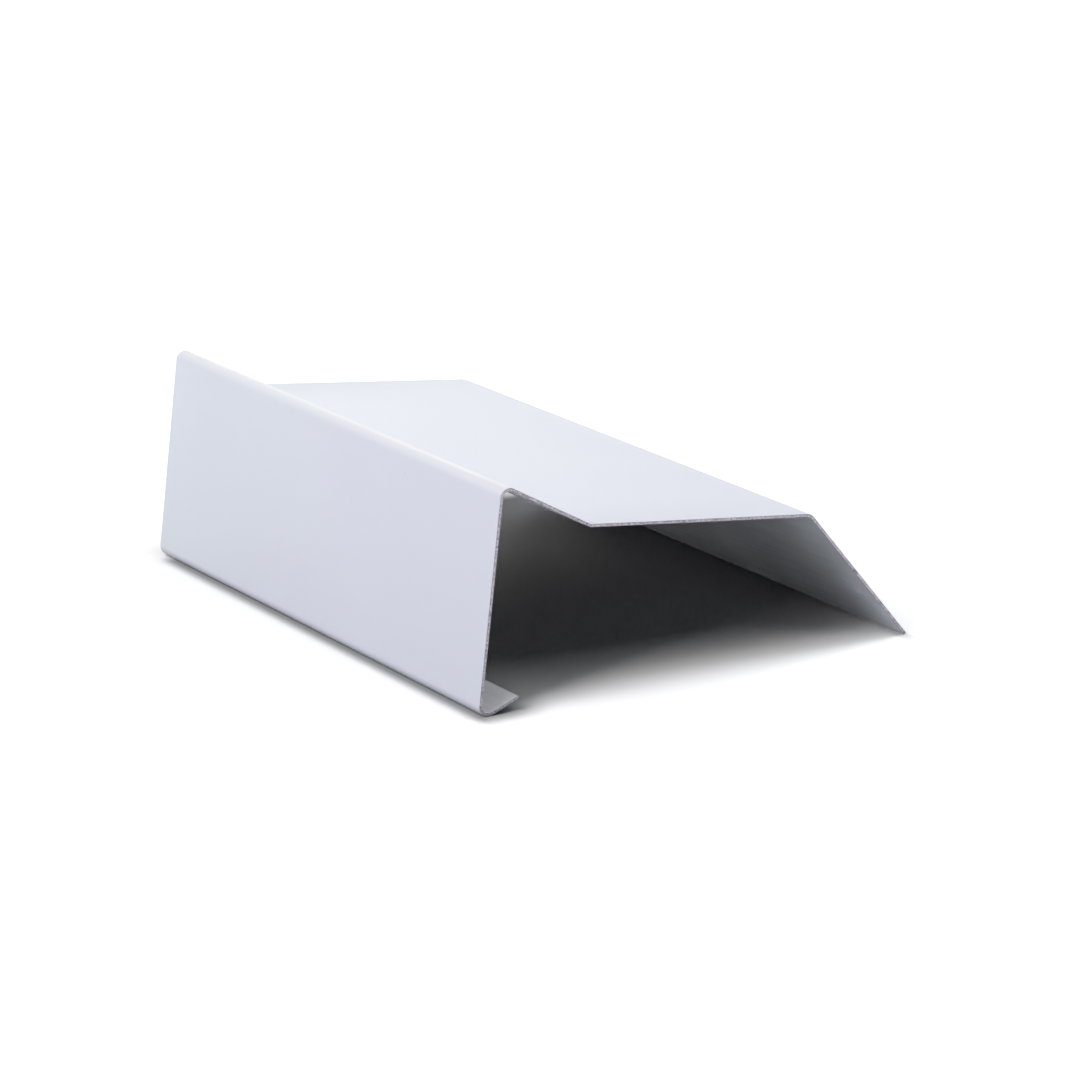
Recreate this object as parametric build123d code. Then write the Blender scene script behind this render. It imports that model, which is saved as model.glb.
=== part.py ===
from build123d import *

import os
from math import asin, degrees

# Roof edge trim: one strip of sheet, folded four times along its length.
# Millimetres. X runs from the fascia to the skirt, Y along the trim, Z up.
# The trim is stored as it lies on a level floor: on its bottom fold and on the skirt's free edge.

# Sheet
THICKNESS = 1.5
LENGTH = 292.0

# Widths of the five strips, measured on the outer face between the sharp corners of the folds
LIP = 22.5
FASCIA = 105.3
KERB = 51.0
FLANGE = 116.5
SKIRT = 83.3

# Directions of the strips in the section, in degrees, with the fascia upright at 90
LIP_DIRECTION = 27.5
FASCIA_DIRECTION = 90.0
KERB_DIRECTION = -22.0
FLANGE_DIRECTION = 0.5
SKIRT_DIRECTION = -43.0

# Inside radius of each fold, on the side that it closes towards
BOTTOM_FOLD = 3.5
TOP_FOLD = 3.0
VALLEY_FOLD = 3.5
SKIRT_FOLD = 3.5


def along(direction):
    """Unit vector of a strip in the section."""
    return Vector(1, 0).rotate(Axis.Z, direction)


def inward(direction):
    """Unit vector from the outer face of a strip to its inner face."""
    return Vector(0, -1).rotate(Axis.Z, direction)


def outer_corners():
    """Sharp corners of the outer face, from the lip's free edge to the skirt's."""
    bottom = Vector(0, 0)
    lip_edge = bottom + along(LIP_DIRECTION) * LIP
    top = bottom + along(FASCIA_DIRECTION) * FASCIA
    valley = top + along(KERB_DIRECTION) * KERB
    skirt_top = valley + along(FLANGE_DIRECTION) * FLANGE
    skirt_edge = skirt_top + along(SKIRT_DIRECTION) * SKIRT
    return [lip_edge, bottom, top, valley, skirt_top, skirt_edge]


def inner_corners(outer):
    """Sharp corners of the inner face, one sheet thickness inside the outer ones."""
    # The lip is walked from its free edge to the bottom fold, against its own direction.
    walked = [LIP_DIRECTION + 180, FASCIA_DIRECTION, KERB_DIRECTION, FLANGE_DIRECTION, SKIRT_DIRECTION]
    inner = [outer[0] + inward(walked[0]) * THICKNESS]
    for corner, before, after in zip(outer[1:-1], walked, walked[1:]):
        both = inward(before) + inward(after)
        inner.append(corner + both * (THICKNESS / (1 + inward(before).dot(inward(after)))))
    inner.append(outer[-1] + inward(walked[-1]) * THICKNESS)
    return inner


def section():
    """Face of the folded sheet, with the fascia upright."""
    outer = outer_corners()
    inner = inner_corners(outer)
    outer_radii = [BOTTOM_FOLD + THICKNESS, TOP_FOLD + THICKNESS, VALLEY_FOLD, SKIRT_FOLD + THICKNESS]
    inner_radii = [BOTTOM_FOLD, TOP_FOLD, VALLEY_FOLD + THICKNESS, SKIRT_FOLD]
    outline = [
        FilletPolyline(*outer, radius=outer_radii),
        Line(outer[-1], inner[-1]),
        FilletPolyline(*inner, radius=inner_radii),
        Line(inner[0], outer[0]),
    ]
    return make_face(Curve() + outline)


def resting_turn():
    """Angle that brings the line from the bottom fold to the skirt's free edge level."""
    outer = outer_corners()
    skirt_edge = inner_corners(outer)[-1]
    radius = BOTTOM_FOLD + THICKNESS
    middle = (along(LIP_DIRECTION) + along(FASCIA_DIRECTION)).normalized()
    half_angle = along(LIP_DIRECTION).get_angle(along(FASCIA_DIRECTION)) / 2
    fold_centre = outer[1] + middle * (radius / Vector(1, 0).rotate(Axis.Z, half_angle).Y)
    reach = skirt_edge - fold_centre
    slope = degrees(asin(reach.Y / reach.length))
    return -(slope + degrees(asin(radius / reach.length)))


def trim_sheet():
    """The folded sheet at rest, centred over the origin with its lowest edge at Z = 0."""
    lying = Rot(Z=resting_turn()) * section()
    solid = extrude(Plane.XZ * lying, LENGTH)
    box = solid.bounding_box()
    return Pos(-box.center().X, -box.center().Y, -box.min.Z) * solid


os.makedirs("parts", exist_ok=True)
export_step(trim_sheet(), "parts/trim_sheet.step")
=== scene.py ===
# %% [markdown]
# # A folded roof edge trim
# The real object is one strip of coated aluminium sheet, 1.5 mm thick, that a press brake has folded
# four times along its length. This lesson folds a strip in the same order, gives it the three surfaces
# that such a sheet has, and lights it softly on a white floor.
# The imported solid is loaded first, because it says where the finished piece has to lie.

# %% Load the fixed frame
import math

import bmesh
import bpy
from mathutils import Matrix, Vector
from mathutils.bvhtree import BVHTree


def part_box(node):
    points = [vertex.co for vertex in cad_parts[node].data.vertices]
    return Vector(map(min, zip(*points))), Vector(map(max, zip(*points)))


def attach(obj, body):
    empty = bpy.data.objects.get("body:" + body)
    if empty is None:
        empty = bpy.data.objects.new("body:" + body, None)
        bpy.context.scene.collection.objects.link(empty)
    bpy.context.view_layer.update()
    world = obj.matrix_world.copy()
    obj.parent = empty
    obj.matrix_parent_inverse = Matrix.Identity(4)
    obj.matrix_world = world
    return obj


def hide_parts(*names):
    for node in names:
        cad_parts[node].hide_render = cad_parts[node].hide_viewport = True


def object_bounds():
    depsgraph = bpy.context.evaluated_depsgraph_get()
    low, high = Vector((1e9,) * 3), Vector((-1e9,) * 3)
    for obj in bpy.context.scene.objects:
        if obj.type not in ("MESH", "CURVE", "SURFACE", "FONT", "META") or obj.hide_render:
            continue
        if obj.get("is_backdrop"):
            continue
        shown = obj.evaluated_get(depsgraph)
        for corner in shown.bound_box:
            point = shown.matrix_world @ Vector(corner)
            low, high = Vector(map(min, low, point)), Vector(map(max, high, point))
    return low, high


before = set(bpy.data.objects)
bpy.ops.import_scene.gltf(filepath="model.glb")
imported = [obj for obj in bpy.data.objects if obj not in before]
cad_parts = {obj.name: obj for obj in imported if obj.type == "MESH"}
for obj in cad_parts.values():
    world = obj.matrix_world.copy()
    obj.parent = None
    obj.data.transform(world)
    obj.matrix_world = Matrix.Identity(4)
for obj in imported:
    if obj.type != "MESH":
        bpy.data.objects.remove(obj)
cad_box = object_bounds()
print("nodes in the frame:", sorted(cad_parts))

# %% [markdown]
# ## Sizes of the sheet
# A folded sheet is described by the widths of its flat strips and by the heading of each one.
# The widths are measured on the outer face between the sharp corners that the folds would have
# without their radius, so that each size can be checked with a ruler and a protractor.

# %% Sheet and strips
MM = 0.001
SHEET = 1.5 * MM
LENGTH = 292.0 * MM

# Width in metres and heading in degrees, walked from the lip's free edge with the fascia upright
STRIPS = {
    "lip": (22.5 * MM, 207.5),
    "fascia": (105.3 * MM, 90.0),
    "kerb": (51.0 * MM, -22.0),
    "flange": (116.5 * MM, 0.5),
    "skirt": (83.3 * MM, -43.0),
}

# Inside radius of the fold after each strip but the last
FOLD_RADII = [3.5 * MM, 3.0 * MM, 3.5 * MM, 3.5 * MM]

print("strips between sharp corners:", round(sum(width for width, heading in STRIPS.values()) / MM, 1), "mm")

# %% [markdown]
# ## Folding the strip
# One could draw the section as a list of points, but a list says nothing about how the part is made.
# A press brake works fold by fold, and so does this cell: an edge as long as the trim starts as the lip's
# free edge, is extruded across each flat strip, and is spun about the axis of each fold.
# That leaves the outer face as rows of quads, with true arcs at the folds. Each vertex also keeps the
# distance walked so far, because the cut marks and the stretched paint follow the sheet round its folds.

# %% Walk the outer face
FOLD_STEP = 6.0
LENGTH_CUTS = 7
SAME_PLACE = 0.01 * MM


def heading_vector(degrees):
    """Unit vector of a heading in the section, where 0 is +X and 90 is +Z."""
    angle = math.radians(degrees)
    return Vector((math.cos(angle), 0.0, math.sin(angle)))


def fold_list():
    """Each fold's turn in degrees and its radius on the outer face, the outside of a clockwise turn."""
    headings = [heading for width, heading in STRIPS.values()]
    turns = [after - before for before, after in zip(headings, headings[1:])]
    return [(turn, radius + SHEET if turn < 0 else radius) for turn, radius in zip(turns, FOLD_RADII)]


def cross_flat(bm, edges, vector):
    """Extrudes the leading edges across a flat strip and returns the new leading edges."""
    made = bmesh.ops.extrude_edge_only(bm, edges=edges)["geom"]
    verts = [item for item in made if isinstance(item, bmesh.types.BMVert)]
    bmesh.ops.translate(bm, verts=verts, vec=vector)
    return [item for item in made if isinstance(item, bmesh.types.BMEdge)]


def bend_fold(bm, edges, heading, turn, radius):
    """Spins the leading edges about a fold's axis and returns the new leading edges."""
    side = heading_vector(heading + math.copysign(90, turn))
    verts = list({vert for edge in edges for vert in edge.verts})
    made = bmesh.ops.spin(
        bm, geom=verts + edges, cent=verts[0].co + side * radius, axis=(0, 1, 0), angle=math.radians(-turn),
        steps=round(abs(turn) / FOLD_STEP), use_merge=False, use_duplicate=False,
    )
    return [item for item in made["geom_last"] if isinstance(item, bmesh.types.BMEdge)]


def note_walked(bm, first_row):
    """Stores on every vertex its distance from the lip's free edge, measured round the section."""
    walked = bm.verts.layers.float["walked"]
    reached = set(first_row)
    pending = list(first_row)
    while pending:
        vert = pending.pop()
        for edge in vert.link_edges:
            ahead = edge.other_vert(vert)
            if ahead not in reached and abs(ahead.co.y - vert.co.y) < SAME_PLACE:
                ahead[walked] = vert[walked] + edge.calc_length()
                reached.add(ahead)
                pending.append(ahead)
    return max(vert[walked] for vert in bm.verts)


def fold_outer_face():
    """The folded sheet's outer face, its sharp bottom corner at the origin and the fascia upright."""
    bm = bmesh.new()
    bm.verts.layers.float.new("walked")
    bm.loops.layers.uv.new("round_and_along")
    width, heading = STRIPS["lip"]
    free_edge = -heading_vector(heading) * width
    ends = [bm.verts.new(free_edge + Vector((0, y, 0))) for y in (-LENGTH / 2, LENGTH / 2)]
    bmesh.ops.subdivide_edges(bm, edges=[bm.edges.new(ends)], cuts=LENGTH_CUTS)
    leading = list(bm.edges)
    first_row = list(bm.verts)
    folds = fold_list() + [(0.0, 0.0)]
    setback = 0.0
    for (width, heading), (turn, radius) in zip(STRIPS.values(), folds):
        next_setback = radius * math.tan(math.radians(abs(turn)) / 2)
        leading = cross_flat(bm, leading, heading_vector(heading) * (width - setback - next_setback))
        if turn:
            leading = bend_fold(bm, leading, heading, turn, radius)
        setback = next_setback
    girth = note_walked(bm, first_row)
    print("outer face:", len(bm.faces), "quads,", round(girth / MM, 1), "mm round the section")
    return bm


sheet_bm = fold_outer_face()

# %% [markdown]
# ## Thickness and cut edges
# Solidify gives the skin its thickness on the inner side, so the outer face stays where the sizes put it.
# The sheet then has three kinds of face, told apart by the corners that they use: coated outside, bare
# inside, and cut all round the rim. A guillotine rolls the coated corner over a little as it enters the
# sheet and leaves the other corner nearly sharp, so the two corners of the rim get different bevels.

# %% Solidify, sort the faces and ease the corners
COATED, BARE, CUT = 0, 1, 2
ROLLOVER = 0.22 * MM
BURR_BREAK = 0.07 * MM


def thicken(bm):
    """Gives the skin its thickness, marks each face by its kind, and lays out the UV map in metres."""
    outer = set(bm.verts)
    made = bmesh.ops.solidify(bm, geom=bm.faces[:], thickness=SHEET)["geom"]
    inner_faces = {item for item in made if isinstance(item, bmesh.types.BMFace)}
    walked = bm.verts.layers.float["walked"]
    uv = bm.loops.layers.uv["round_and_along"]
    for face in bm.faces:
        on_outer = sum(vert in outer for vert in face.verts)
        rim = 0 < on_outer < len(face.verts)
        face.material_index = CUT if rim else BARE if face in inner_faces else COATED
        for loop in face.loops:
            depth = 0.0 if loop.vert in outer else SHEET
            loop[uv].uv = (loop.vert[walked], depth if rim else loop.vert.co.y)


def rim_corners(bm, kind):
    """Edges where the cut rim meets faces of one kind."""
    return [edge for edge in bm.edges if {face.material_index for face in edge.link_faces} == {CUT, kind}]


def ease_corners(bm, edges, width, segments, kind):
    """Bevels a corner of the rim and gives the new faces to one of the three surfaces."""
    made = bmesh.ops.bevel(
        bm, geom=edges, offset=width, offset_type="OFFSET", affect="EDGES",
        segments=segments, profile=0.5, material=-1,
    )
    for face in made["faces"]:
        face.material_index = kind


thicken(sheet_bm)
ease_corners(sheet_bm, rim_corners(sheet_bm, COATED), ROLLOVER, 3, COATED)
ease_corners(sheet_bm, rim_corners(sheet_bm, BARE), BURR_BREAK, 1, CUT)
print("sheet:", len(sheet_bm.faces), "faces, volume", round(sheet_bm.calc_volume() / MM**3), "mm3")

# %% [markdown]
# ## Laying the trim down
# The photo shows the trim as it lies unheld: on its bottom fold and on the skirt's free edge, so the
# fascia leans back a little. The lean isn't a measured angle. It follows from the sizes, as the angle that
# brings the line from the bottom fold to the inner corner of the skirt's free edge level.

# %% Turn it to rest and place it


def resting_turn():
    """Clockwise turn, in radians, that brings the trim to rest."""
    corners = [Vector((0, 0, 0))]
    for name in ("fascia", "kerb", "flange", "skirt"):
        width, heading = STRIPS[name]
        corners.append(corners[-1] + heading_vector(heading) * width)
    skirt_edge = corners[-1] + heading_vector(STRIPS["skirt"][1] - 90) * SHEET
    turn, radius = fold_list()[0]
    interior = math.radians(180 - abs(turn))
    fold_centre = Vector((radius, 0, radius / math.tan(interior / 2)))
    reach = skirt_edge - fold_centre
    return math.asin(reach.z / reach.length) + math.asin(radius / reach.length)


def lay_down(bm):
    """Rests the trim on the floor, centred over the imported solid."""
    lean = resting_turn()
    bmesh.ops.rotate(bm, verts=bm.verts, cent=(0, 0, 0), matrix=Matrix.Rotation(lean, 3, "Y"))
    across = [vert.co.x for vert in bm.verts]
    lowest = min(vert.co.z for vert in bm.verts)
    low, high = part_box("trim_sheet")
    middle = (low.x + high.x) / 2 - (min(across) + max(across)) / 2
    bmesh.ops.translate(bm, verts=bm.verts, vec=(middle, 0, low.z - lowest))
    print("leans back", round(math.degrees(lean), 2), "degrees")


lay_down(sheet_bm)

# %% Make the piece
SHARP_ANGLE = 32.0


def make_piece(bm, name):
    """Turns the bmesh into an object with smooth folds and crisp rim corners."""
    mesh = bpy.data.meshes.new(name)
    bm.to_mesh(mesh)
    bm.free()
    mesh.shade_smooth()
    mesh.set_sharp_from_angle(angle=math.radians(SHARP_ANGLE))
    piece = bpy.data.objects.new(name, mesh)
    bpy.context.scene.collection.objects.link(piece)
    return piece


def distance_from_solid(piece, node):
    """Largest distance in mm from the piece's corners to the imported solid's surface."""
    solid = BVHTree.FromObject(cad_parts[node], bpy.context.evaluated_depsgraph_get())
    return max(solid.find_nearest(vert.co)[3] for vert in piece.data.vertices) / MM


trim = make_piece(sheet_bm, "roof_edge_trim_sheet")
print("largest distance from the packed solid:", round(distance_from_solid(trim, "trim_sheet"), 3), "mm")
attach(trim, "root")
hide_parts("trim_sheet")

# %% [markdown]
# ## Materials
# Colours are written as the sRGB hex values that one reads from a photo, and one function turns them to
# the linear values that a shader works with. A second small function adds any node with its settings,
# its values and its links, so each material below reads from top to bottom like its graph.
# Sockets are named, or numbered where a node repeats a name: 1 to 4 of a Map Range are the two ends that it
# maps from and the two that it maps to, and 6 and 7 of a colour Mix are its two colours.

# %% Colour and node helpers


def linear(hex_colour):
    """Linear RGBA of an sRGB hex colour such as #E8EAF0."""
    channels = [int(hex_colour[i : i + 2], 16) / 255 for i in (1, 3, 5)]
    return [c / 12.92 if c <= 0.04045 else ((c + 0.055) / 1.055) ** 2.4 for c in channels] + [1.0]


def new_material(name):
    """An empty node material and its output node."""
    material = bpy.data.materials.new(name)
    material.use_nodes = True
    material.node_tree.nodes.clear()
    return material, material.node_tree.nodes.new("ShaderNodeOutputMaterial")


def add_node(tree, kind, values=None, links=None, **settings):
    """Adds one node: settings are its properties, values its unlinked sockets, links its linked ones."""
    node = tree.nodes.new(kind)
    for key, value in settings.items():
        setattr(node, key, value)
    for socket, value in (values or {}).items():
        node.inputs[socket].default_value = value
    for socket, source in (links or {}).items():
        tree.links.new(source, node.inputs[socket])
    return node


print("middle grey #808080 is", round(linear("#808080")[0], 3), "in linear light")

# %% [markdown]
# ### Coil coating
# The outer face carries a polyester coil coating: a baked paint film about 0.03 mm thick, laid on by
# rollers before the sheet is cut and folded. It gives the eye a nearly even, satin, cool off-white with a
# faint orange peel and a few dust specks under the film, and painted shade darkens it slightly towards the
# near end.
# A painted highlight, a paler, warmer band, lies over the tight top fold. The band is placed
# by the distance walked round the sheet, so it stays on the fold if a strip's width changes.

# %% The paint's tint, with painted shade towards the near end
# Paint colour at the far end, and a darker one at the near end as painted shade
COAT_FAR = "#E3E8EF"
COAT_NEAR_SHADED = "#DEE1EB"
DRIFT_PATCH = 90 * MM
DRIFT_FROM, DRIFT_TO = -0.25, 0.75


def tint_and_painted_shade(tree, place):
    """The paint's tint with painted shade, which darkens it slightly and unevenly from the far end to the
    near end.
    """
    axes = add_node(tree, "ShaderNodeSeparateXYZ", links={"Vector": place})
    along = add_node(tree, "ShaderNodeMapRange", {1: LENGTH / 2, 2: -LENGTH / 2, 3: DRIFT_FROM, 4: DRIFT_TO},
                     {"Value": axes.outputs["Y"]})
    drift = add_node(tree, "ShaderNodeTexNoise", {"Scale": 1 / DRIFT_PATCH, "Detail": 1.0}, {"Vector": place})
    drifted = add_node(tree, "ShaderNodeMath", None, {0: along.outputs["Result"], 1: drift.outputs["Fac"]},
                       operation="ADD", use_clamp=True)
    tint = add_node(tree, "ShaderNodeMix", {6: linear(COAT_FAR), 7: linear(COAT_NEAR_SHADED)},
                    {"Factor": drifted.outputs["Value"]}, data_type="RGBA")
    return tint.outputs[2]


# %% Painted highlight on the top fold
# A paler, warmer colour painted over the top fold as its highlight
FOLD_PAINTED_HIGHLIGHT = "#EBEBEC"
FOLD_HIGHLIGHT_SHARE = 0.65
STARTS_BEFORE = 1 * MM
FULL_BEFORE_END = 3 * MM


def fold_span(index):
    """Where a fold starts and ends, as distances round the outer face from the lip's free edge."""
    widths = [width for width, heading in STRIPS.values()]
    reached, setback = 0.0, 0.0
    for width, (turn, radius) in zip(widths[: index + 1], fold_list()):
        next_setback = radius * math.tan(math.radians(abs(turn)) / 2)
        start = reached + width - setback - next_setback
        reached = start + radius * math.radians(abs(turn))
        setback = next_setback
    return start, reached


def top_fold_highlight_share(tree):
    """Share of the painted highlight, which grows across the top fold and stops where the kerb begins."""
    start, end = fold_span(1)
    print("top fold:", round(start / MM, 1), "to", round(end / MM, 1), "mm round the outer face")
    round_sheet = add_node(tree, "ShaderNodeUVMap", uv_map="round_and_along").outputs["UV"]
    walked = add_node(tree, "ShaderNodeSeparateXYZ", links={"Vector": round_sheet}).outputs["X"]
    onto_fold = add_node(tree, "ShaderNodeMapRange",
                         {1: start - STARTS_BEFORE, 2: end - FULL_BEFORE_END, 4: FOLD_HIGHLIGHT_SHARE},
                         {"Value": walked}, interpolation_type="SMOOTHSTEP")
    before_end = add_node(tree, "ShaderNodeMath", {1: end}, {0: walked}, operation="LESS_THAN")
    on_fold = add_node(tree, "ShaderNodeMath", operation="MULTIPLY",
                       links={0: onto_fold.outputs["Result"], 1: before_end.outputs["Value"]})
    return on_fold.outputs["Value"]


# %% Dust specks and the finished coating
DUST_GREY = "#A9ABB1"
SPECK_SPACING = 26 * MM
SPECK_CORE, SPECK_RIM = 0.012, 0.022
ORANGE_PEEL = 1.1 * MM
PEEL_HEIGHT = 0.02 * MM
PEEL_STRENGTH = 0.05
COAT_ROUGHNESS = 0.40
COAT_IOR = 1.4


def speck_share(tree, place):
    """1 on a speck of dust and 0 between specks. Core and rim are shares of their spacing."""
    specks = add_node(tree, "ShaderNodeTexVoronoi", {"Scale": 1 / SPECK_SPACING, "Randomness": 1.0},
                      {"Vector": place})
    speck_edge = add_node(tree, "ShaderNodeMapRange", {1: SPECK_CORE, 2: SPECK_RIM, 3: 1.0, 4: 0.0},
                          {"Value": specks.outputs["Distance"]})
    return speck_edge.outputs["Result"]


def coil_coating():
    material, output = new_material("satin_polyester_coil_coating")
    tree = material.node_tree
    place = add_node(tree, "ShaderNodeTexCoord").outputs["Object"]
    # The top fold's painted highlight, then the dust specks
    folded = add_node(tree, "ShaderNodeMix", {7: linear(FOLD_PAINTED_HIGHLIGHT)},
                      {"Factor": top_fold_highlight_share(tree), 6: tint_and_painted_shade(tree, place)}, data_type="RGBA")
    dusted = add_node(tree, "ShaderNodeMix", {7: linear(DUST_GREY)},
                      {"Factor": speck_share(tree, place), 6: folded.outputs[2]}, data_type="RGBA")
    peel = add_node(tree, "ShaderNodeTexNoise", {"Scale": 1 / ORANGE_PEEL, "Detail": 1.0}, {"Vector": place})
    bump = add_node(tree, "ShaderNodeBump", {"Strength": PEEL_STRENGTH, "Distance": PEEL_HEIGHT},
                    {"Height": peel.outputs["Fac"]})
    shader = add_node(tree, "ShaderNodeBsdfPrincipled", {"Roughness": COAT_ROUGHNESS, "IOR": COAT_IOR},
                      {"Base Color": dusted.outputs[2], "Normal": bump.outputs["Normal"]})
    tree.links.new(shader.outputs["BSDF"], output.inputs["Surface"])
    return material


trim.data.materials.append(coil_coating())
print("outer face:", trim.data.materials[COATED].name)

# %% [markdown]
# ### Mill-finish aluminium
# The inner face is left as the rolling mill made it: bare aluminium with fine rolling lines along the
# sheet. The lines are drawn by noise that is stretched far along the trim, and they drive the colour a
# little and a very small bump. Clouds of a few millimetres vary the roughness.
# The metal's tint changes by place as painted sheen: neutral on the lip, darker and a little blue near
# the skirt's near end, and palest deep inside. A lighter streaky patch on the skirt is a painted reflection.

# %% The metal's tint, with painted sheen
METAL_LIP = "#EBEBED"
# The lip's metal colour, then painted sheen near the skirt's near end and, palest, deep inside
METAL_NEAR_SHEEN = "#D1D6DC"
METAL_DEEP_SHEEN = "#F6F7FC"

# The painted sheen's near tint turns to the deep one between two places along the trim, the lip's tint to the
# skirt's across it
NEAR_TINT, DEEP_TINT = -0.48 * LENGTH, -0.1 * LENGTH
LIP_TINT, SKIRT_TINT = -80 * MM, -40 * MM


def metal_tint_with_painted_sheen(tree, place):
    """The bare metal's tint with its painted sheen, before its lines and marks."""
    axes = add_node(tree, "ShaderNodeSeparateXYZ", links={"Vector": place})
    inwards = add_node(tree, "ShaderNodeMapRange", {1: NEAR_TINT, 2: DEEP_TINT}, {"Value": axes.outputs["Y"]})
    skirt = add_node(tree, "ShaderNodeMix", {6: linear(METAL_NEAR_SHEEN), 7: linear(METAL_DEEP_SHEEN)},
                     {"Factor": inwards.outputs["Result"]}, data_type="RGBA")
    across = add_node(tree, "ShaderNodeMapRange", {1: LIP_TINT, 2: SKIRT_TINT}, {"Value": axes.outputs["X"]})
    tint = add_node(tree, "ShaderNodeMix", {6: linear(METAL_LIP)},
                    {"Factor": across.outputs["Result"], 7: skirt.outputs[2]}, data_type="RGBA")
    return tint.outputs[2]


# %% A painted reflection on the skirt
# Painted reflection: a lighter streaky patch where the skirt shows the bright floor
METAL_SHEEN_PATCH = "#EEF4FF"
SHEEN_PATCH_CENTRE = (93 * MM, -134 * MM, 21 * MM)
SHEEN_PATCH_REACH = (10 * MM, 11 * MM, 11 * MM)
SHEEN_PATCH_STREAK = 4.5 * MM
STREAKS_START, STREAKS_FULL = 0.25, 0.65
SHEEN_PATCH_SHARE = 0.85


def sheen_patch_share(tree, place):
    """Share of the painted reflection, a lighter streaky patch of the skirt near its near end."""
    from_sheen_patch = add_node(tree, "ShaderNodeMapping", {"Location": SHEEN_PATCH_CENTRE, "Scale": SHEEN_PATCH_REACH},
                        {"Vector": place}, vector_type="TEXTURE")
    away = add_node(tree, "ShaderNodeVectorMath", links={0: from_sheen_patch.outputs["Vector"]}, operation="LENGTH")
    patch = add_node(tree, "ShaderNodeMapRange", {1: 1.0, 2: 0.0, 4: SHEEN_PATCH_SHARE},
                     {"Value": away.outputs["Value"]}, interpolation_type="SMOOTHSTEP")
    streaks = add_node(tree, "ShaderNodeTexNoise", {"Scale": 1 / SHEEN_PATCH_STREAK, "Detail": 3.0},
                       {"Vector": place})
    streak_level = add_node(tree, "ShaderNodeMapRange", {1: STREAKS_START, 2: STREAKS_FULL},
                            {"Value": streaks.outputs["Fac"]})
    share = add_node(tree, "ShaderNodeMath", operation="MULTIPLY",
                     links={0: patch.outputs["Result"], 1: streak_level.outputs["Result"]})
    return share.outputs["Value"]


# %% Rolling lines and the finished metal
NOISE_LOW, NOISE_HIGH = 0.35, 0.65
LINE_DEPTH = 0.10
ROLLING_LINE = 0.7 * MM
ROLLING_STRETCH = 40.0
LINE_HEIGHT = 0.01 * MM
LINE_STRENGTH = 0.25
CLOUD = 14 * MM
SMOOTHEST, ROUGHEST = 0.57, 0.63


def mill_finish():
    material, output = new_material("mill_finish_aluminium")
    tree = material.node_tree
    place = add_node(tree, "ShaderNodeTexCoord").outputs["Object"]
    # The metal's tint with its painted sheen and painted reflection
    sheen_patched = add_node(tree, "ShaderNodeMix", {7: linear(METAL_SHEEN_PATCH)},
                      {"Factor": sheen_patch_share(tree, place), 6: metal_tint_with_painted_sheen(tree, place)}, data_type="RGBA")
    stretch = add_node(tree, "ShaderNodeMapping", {"Scale": (1, 1 / ROLLING_STRETCH, 1)}, {"Vector": place})
    lines = add_node(tree, "ShaderNodeTexNoise", {"Scale": 1 / ROLLING_LINE, "Detail": 3.0},
                     {"Vector": stretch.outputs["Vector"]})
    line_level = add_node(tree, "ShaderNodeMapRange",
                          {1: NOISE_LOW, 2: NOISE_HIGH, 3: 1.0 - LINE_DEPTH, 4: 1.0},
                          {"Value": lines.outputs["Fac"]})
    metal = add_node(tree, "ShaderNodeVectorMath", operation="SCALE",
                     links={0: sheen_patched.outputs[2], "Scale": line_level.outputs["Result"]})
    clouds = add_node(tree, "ShaderNodeTexNoise", {"Scale": 1 / CLOUD, "Detail": 3.0}, {"Vector": place})
    roughness = add_node(tree, "ShaderNodeMapRange", {1: NOISE_LOW, 2: NOISE_HIGH, 3: SMOOTHEST, 4: ROUGHEST},
                         {"Value": clouds.outputs["Fac"]})
    bump = add_node(tree, "ShaderNodeBump", {"Strength": LINE_STRENGTH, "Distance": LINE_HEIGHT},
                    {"Height": lines.outputs["Fac"]})
    shader = add_node(tree, "ShaderNodeBsdfPrincipled", {"Metallic": 1.0},
                      {"Base Color": metal.outputs["Vector"], "Roughness": roughness.outputs["Result"],
                       "Normal": bump.outputs["Normal"]})
    tree.links.new(shader.outputs["BSDF"], output.inputs["Surface"])
    return material


trim.data.materials.append(mill_finish())
print("inner face:", trim.data.materials[BARE].name)

# %% [markdown]
# ### Sheared aluminium edge
# The rim shows how the strip was cut. A thin dark line lies along the coated corner, and another along
# the bare corner. The metal between them is torn: light, grainy and pitted here and there. Paint drawn
# over the edge by the blade makes it only partly metallic.
# Real grain is finer than the photo can show, so it is drawn coarser.
# U runs round the section and V through the thickness, so the bands follow every fold.

# %% Sheared edge
# Depth below the coated corner as a share of the thickness, and colour
EDGE_BANDS = [
    (0.00, "#78747E"),
    (0.15, "#8B8691"),
    (0.28, "#BFBAC6"),
    (0.78, "#C6C1CC"),
    (1.00, "#85818C"),
]
GRAIN = 1.1 * MM
GRAIN_LOW, GRAIN_HIGH = 0.43, 0.57
GRAIN_DARKEST, GRAIN_LIGHTEST = 0.58, 1.16
GRAIN_HEIGHT = 0.05 * MM
GRAIN_STRENGTH = 0.6
PIT = 3.5 * MM
PITS_START, PITS_FULL = 0.54, 0.62
PIT_LEVEL = 0.66
EDGE_METALLIC = 0.6
EDGE_ROUGHNESS = 0.55


def edge_bands(tree, place):
    """Colour of the cut through its thickness."""
    axes = add_node(tree, "ShaderNodeSeparateXYZ", links={"Vector": place})
    depth = add_node(tree, "ShaderNodeMapRange", {1: 0.0, 2: SHEET}, {"Value": axes.outputs["Y"]})
    ramp = add_node(tree, "ShaderNodeValToRGB", links={"Fac": depth.outputs["Result"]})
    stops = ramp.color_ramp.elements
    while len(stops) < len(EDGE_BANDS):
        stops.new(0.5)
    for stop, (position, colour) in zip(stops, EDGE_BANDS):
        stop.position = position
        stop.color = linear(colour)
    return ramp.outputs["Color"]


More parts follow.
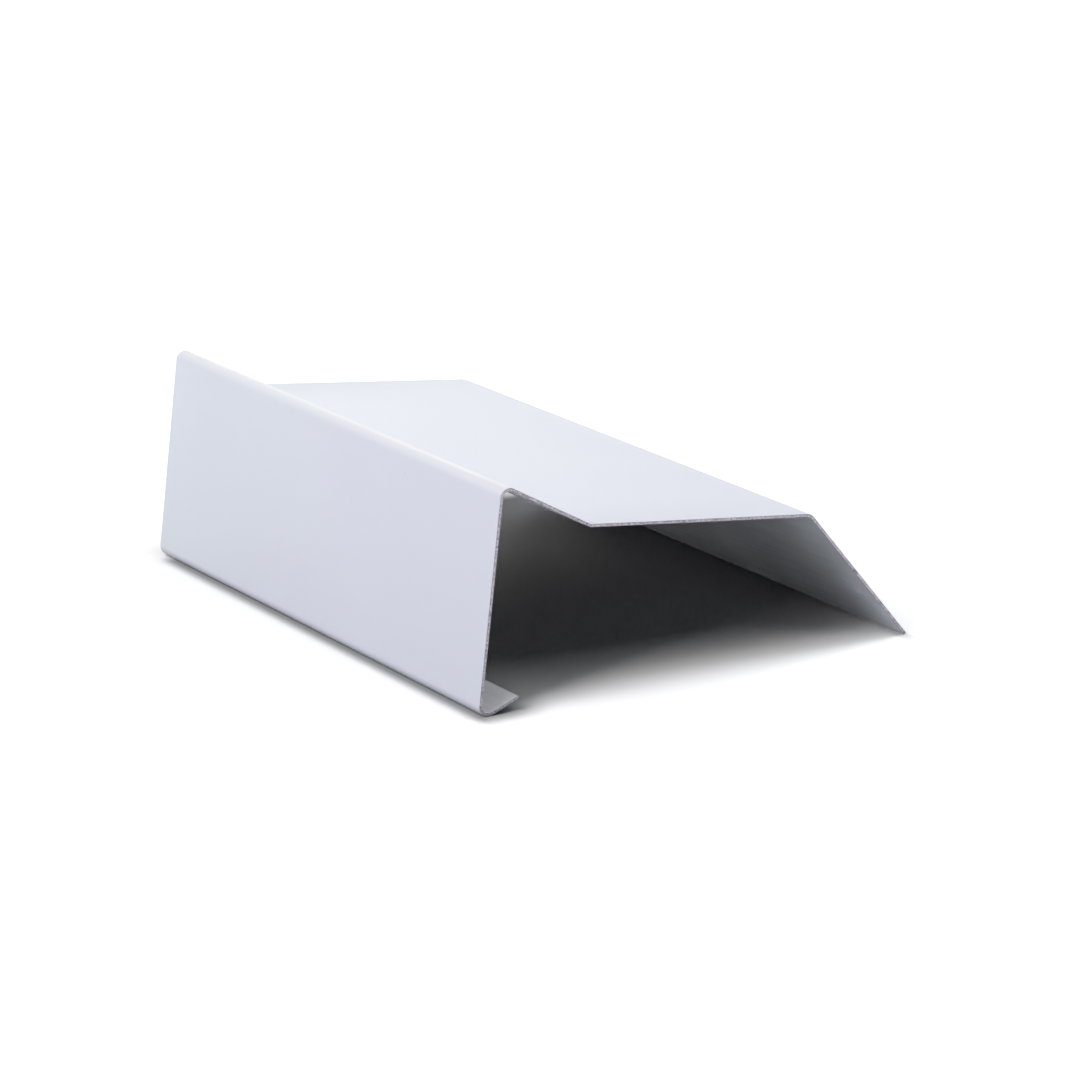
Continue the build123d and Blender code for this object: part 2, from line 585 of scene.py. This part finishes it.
def sheared_edge():
    material, output = new_material("sheared_aluminium_edge")
    tree = material.node_tree
    place = add_node(tree, "ShaderNodeUVMap", uv_map="round_and_along").outputs["UV"]
    grain = add_node(tree, "ShaderNodeTexNoise", {"Scale": 1 / GRAIN, "Detail": 3.0, "Roughness": 0.7},
                     {"Vector": place})
    grain_level = add_node(tree, "ShaderNodeMapRange",
                           {1: GRAIN_LOW, 2: GRAIN_HIGH, 3: GRAIN_DARKEST, 4: GRAIN_LIGHTEST},
                           {"Value": grain.outputs["Fac"]})
    grained = add_node(tree, "ShaderNodeVectorMath", operation="SCALE",
                       links={0: edge_bands(tree, place), "Scale": grain_level.outputs["Result"]})
    pits = add_node(tree, "ShaderNodeTexNoise", {"Scale": 1 / PIT, "Detail": 3.0, "Roughness": 0.7},
                    {"Vector": place})
    pit_level = add_node(tree, "ShaderNodeMapRange", {1: PITS_START, 2: PITS_FULL, 3: 1.0, 4: PIT_LEVEL},
                         {"Value": pits.outputs["Fac"]})
    pitted = add_node(tree, "ShaderNodeVectorMath", operation="SCALE",
                      links={0: grained.outputs["Vector"], "Scale": pit_level.outputs["Result"]})
    bump = add_node(tree, "ShaderNodeBump", {"Strength": GRAIN_STRENGTH, "Distance": GRAIN_HEIGHT},
                    {"Height": grain.outputs["Fac"]})
    shader = add_node(tree, "ShaderNodeBsdfPrincipled",
                      {"Metallic": EDGE_METALLIC, "Roughness": EDGE_ROUGHNESS},
                      {"Base Color": pitted.outputs["Vector"], "Normal": bump.outputs["Normal"]})
    tree.links.new(shader.outputs["BSDF"], output.inputs["Surface"])
    return material


trim.data.materials.append(sheared_edge())
print("rim:", trim.data.materials[CUT].name)

# %% [markdown]
# ## Floor
# The trim stands on a white sweep. The floor's colour is raised for what is seen, by the camera or as the
# first reflection in the metal, so that it shows as white where nothing shades it. For all other rays it
# is a plain grey, so no more light is thrown on the trim, and the shade under the sheet stays deep.
# It is raised more further out, where less of the panels' light arrives.
# In the photo a soft dark shade also goes round the foot of the trim and past its near end, wider than the
# panels alone would draw it. It is painted into the floor's seen colour by distance from the two footprints,
# each as long as the trim.

# %% What the camera or a first reflection sees


def seen_mask(tree):
    """1 for a camera ray, or for a reflection or refraction that no diffuse bounce came before, else 0."""
    path = add_node(tree, "ShaderNodeLightPath")
    direct = add_node(tree, "ShaderNodeMath", {1: 0.5}, {0: path.outputs["Diffuse Depth"]},
                      operation="LESS_THAN")
    mirrored = add_node(tree, "ShaderNodeMath",
                        links={0: path.outputs["Is Glossy Ray"], 1: path.outputs["Is Transmission Ray"]},
                        operation="MAXIMUM")
    first = add_node(tree, "ShaderNodeMath", links={0: mirrored.outputs["Value"], 1: direct.outputs["Value"]},
                     operation="MULTIPLY")
    mask = add_node(tree, "ShaderNodeMath",
                    links={0: path.outputs["Is Camera Ray"], 1: first.outputs["Value"]}, operation="MAXIMUM")
    return mask.outputs["Value"]


# %% Painted shade round the footprints
END_REACH = 13 * MM

# Footprint between two values of X, reach of its shade to the left and the right, and depth of the shade
FOOTPRINTS = {
    "fold and lip": (-111.5 * MM, -102.0 * MM, 8 * MM, 30 * MM, 0.64),
    "skirt edge": (110.0 * MM, 113.0 * MM, 4 * MM, 3 * MM, 0.25),
}


def contact_shade(tree, axes, low, high, left_reach, right_reach, depth):
    """Painted shade: level of the floor round a footprint, darkest on it, and 1 where its shade ends."""
    x = axes.outputs["X"]
    left = add_node(tree, "ShaderNodeMapRange", {1: low, 2: low - left_reach}, {"Value": x})
    right = add_node(tree, "ShaderNodeMapRange", {1: high, 2: high + right_reach}, {"Value": x})
    beside = add_node(tree, "ShaderNodeMath", operation="MAXIMUM",
                      links={0: left.outputs["Result"], 1: right.outputs["Result"]})
    centred = add_node(tree, "ShaderNodeMath", {1: END_REACH / 2}, {0: axes.outputs["Y"]}, operation="ADD")
    along = add_node(tree, "ShaderNodeMath", links={0: centred.outputs["Value"]}, operation="ABSOLUTE")
    beyond = add_node(tree, "ShaderNodeMapRange", {1: (LENGTH - END_REACH) / 2, 2: (LENGTH + END_REACH) / 2},
                      {"Value": along.outputs["Value"]})
    both = add_node(tree, "ShaderNodeCombineXYZ",
                    links={"X": beside.outputs["Value"], "Y": beyond.outputs["Result"]})
    away = add_node(tree, "ShaderNodeVectorMath", links={0: both.outputs["Vector"]}, operation="LENGTH")
    shade = add_node(tree, "ShaderNodeMapRange", {3: 1.0 - depth}, {"Value": away.outputs["Value"]},
                     interpolation_type="SMOOTHSTEP")
    return shade.outputs["Result"]


# %% Floor
FLOOR_SIZE = 12.0
FLOOR_PAPER = "#646464"

# Level of the floor that is seen, near the trim and far from it, and the distances where the two begin
FLOOR_SEEN_NEAR = 1.30
FLOOR_SEEN_FAR = 3.2
SEEN_NEAR = 0.16
SEEN_FAR = 1.1


def paper_floor():
    material, output = new_material("white_paper_floor")
    tree = material.node_tree
    place = add_node(tree, "ShaderNodeTexCoord").outputs["Object"]
    reach = add_node(tree, "ShaderNodeVectorMath", links={0: place}, operation="LENGTH")
    level = add_node(tree, "ShaderNodeMapRange",
                     {1: SEEN_NEAR, 2: SEEN_FAR, 3: FLOOR_SEEN_NEAR, 4: FLOOR_SEEN_FAR},
                     {"Value": reach.outputs["Value"]})
    axes = add_node(tree, "ShaderNodeSeparateXYZ", links={"Vector": place})
    shaded = level.outputs["Result"]
    for settings in FOOTPRINTS.values():
        shade = contact_shade(tree, axes, *settings)
        both = add_node(tree, "ShaderNodeMath", links={0: shaded, 1: shade}, operation="MULTIPLY")
        shaded = both.outputs["Value"]
    colour = add_node(tree, "ShaderNodeMix", {6: linear(FLOOR_PAPER)},
                      {"Factor": seen_mask(tree), 7: shaded}, data_type="RGBA")
    shader = add_node(tree, "ShaderNodeBsdfDiffuse", links={"Color": colour.outputs[2]})
    tree.links.new(shader.outputs["BSDF"], output.inputs["Surface"])
    return material


floor_bm = bmesh.new()
bmesh.ops.create_grid(floor_bm, x_segments=1, y_segments=1, size=FLOOR_SIZE / 2)
floor_mesh = bpy.data.meshes.new("floor")
floor_bm.to_mesh(floor_mesh)
floor_bm.free()
floor_mesh.materials.append(paper_floor())
floor = bpy.data.objects.new("floor", floor_mesh)
bpy.context.scene.collection.objects.link(floor)
floor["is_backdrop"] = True
print("floor:", FLOOR_SIZE, "m square, with shade round", " and ".join(FOOTPRINTS))

# %% [markdown]
# ## Light
# The shade under the sheet is nearly black, yet the floor outside is white right up to its ends, so little
# light travels along the trim. Most panels therefore stand in an arch nearly square to its length. Three
# weak ones stand low beyond the far end and give the shade its soft gradient behind the fascia.
# Each one is given by its angle in the arch, from the skirt's side over the top to the fascia's side, by how
# far it leans towards the near end, and by the level that it alone gives to a white card that faces it.

# %% Light
# Angle in the arch, lean towards the near end, width along the trim, height, level, colour
PANELS = {
    "skirt_side": (35, 0, 1.25, 1.25, 0.415, "#F8FBFF"),
    "top_right": (70, 10, 1.25, 1.25, 0.105, "#F8FBFF"),
    "top_front": (90, 30, 1.25, 1.25, 0.095, "#FAFCFF"),
    "fascia_top": (130, 10, 1.25, 1.25, 0.412, "#FFFDFD"),
    "fascia_front": (150, 20, 1.25, 1.25, 0.245, "#FFFCFB"),
    "fascia_low": (172, -20, 1.40, 0.70, 0.270, "#EAF1FF"),
    "far_right": (63, -62, 0.80, 0.80, 0.081, "#FFFFFF"),
    "far_end": (90, -60, 0.95, 0.80, 0.042, "#FFFBF2"),
    "far_side": (42, -67, 0.80, 0.80, 0.025, "#FFFFFF"),
}
PANEL_DISTANCE = 3.0
TENT_FILL = 0.005


def panel(name, arch, lean, width, height, level, colour):
    """A rectangular softbox in the arch, with the power that gives its level at the trim."""
    light = bpy.data.lights.new(name, "AREA")
    light.shape = "RECTANGLE"
    light.size = width
    light.size_y = height
    light.energy = level * math.pi**2 * PANEL_DISTANCE**2
    light.color = linear(colour)[:3]
    lamp = bpy.data.objects.new(name, light)
    turned = Matrix.Rotation(math.radians(lean), 4, "X") @ heading_vector(arch)
    lamp.location = turned * PANEL_DISTANCE
    lamp.rotation_euler = turned.to_track_quat("Z", "Y").to_euler()
    bpy.context.scene.collection.objects.link(lamp)
    return lamp


def tent_world():
    """A white tent where it is seen, and a dim fill for every other ray."""
    world = bpy.data.worlds.new("tent")
    world.use_nodes = True
    tree = world.node_tree
    tree.nodes.clear()
    output = tree.nodes.new("ShaderNodeOutputWorld")
    brightness = add_node(tree, "ShaderNodeMapRange", {3: TENT_FILL, 4: 1.0}, {"Value": seen_mask(tree)})
    back = add_node(tree, "ShaderNodeBackground", {"Color": (1, 1, 1, 1)},
                    {"Strength": brightness.outputs["Result"]})
    tree.links.new(back.outputs["Background"], output.inputs["Surface"])
    bpy.context.scene.world = world


for name, settings in PANELS.items():
    panel(name, *settings)
tent_world()
print("lamps:", ", ".join(PANELS))

# %% [markdown]
# ## Camera
# The lens and the viewpoint were worked out from the straight edges in the photo: a long lens, about two
# metres from the trim, a third of a right angle round from its end and sixteen degrees above it.

# %% Camera
SENSOR = 36.0
LENS = 146.36
VIEW_TURN = 32.22
VIEW_DROP = 15.955
VIEW_DISTANCE = 2.0159
VIEW_AIM = Vector((8.53, 3.82, 27.21)) * MM
CLIP_END = 50.0


def photo_camera():
    """Camera that looks along +Y, turned towards +X and tipped down."""
    turn, drop = math.radians(VIEW_TURN), math.radians(VIEW_DROP)
    ahead = Vector((math.sin(turn) * math.cos(drop), math.cos(turn) * math.cos(drop), -math.sin(drop)))
    data = bpy.data.cameras.new("photo_camera")
    data.sensor_width = SENSOR
    data.lens = LENS
    data.clip_end = CLIP_END
    camera = bpy.data.objects.new("photo_camera", data)
    camera.location = VIEW_AIM - ahead * VIEW_DISTANCE
    camera.rotation_euler = ahead.to_track_quat("-Z", "Y").to_euler()
    bpy.context.scene.collection.objects.link(camera)
    bpy.context.scene.camera = camera
    return camera


camera = photo_camera()
print("camera stands at", [round(value, 2) for value in camera.location])
bpy.context.scene.view_settings.view_transform = "Standard"

# %% [markdown]
# ## Sizes, printed
# The finished look has to stay inside the imported solid's box, so both boxes are printed.

# %% Finish
visual_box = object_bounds()
sizes = {"cad": [list(corner) for corner in cad_box], "visual": [list(corner) for corner in visual_box]}
for key, box in sizes.items():
    print(key, "box in mm:", [[round(value / MM, 2) for value in corner] for corner in box])
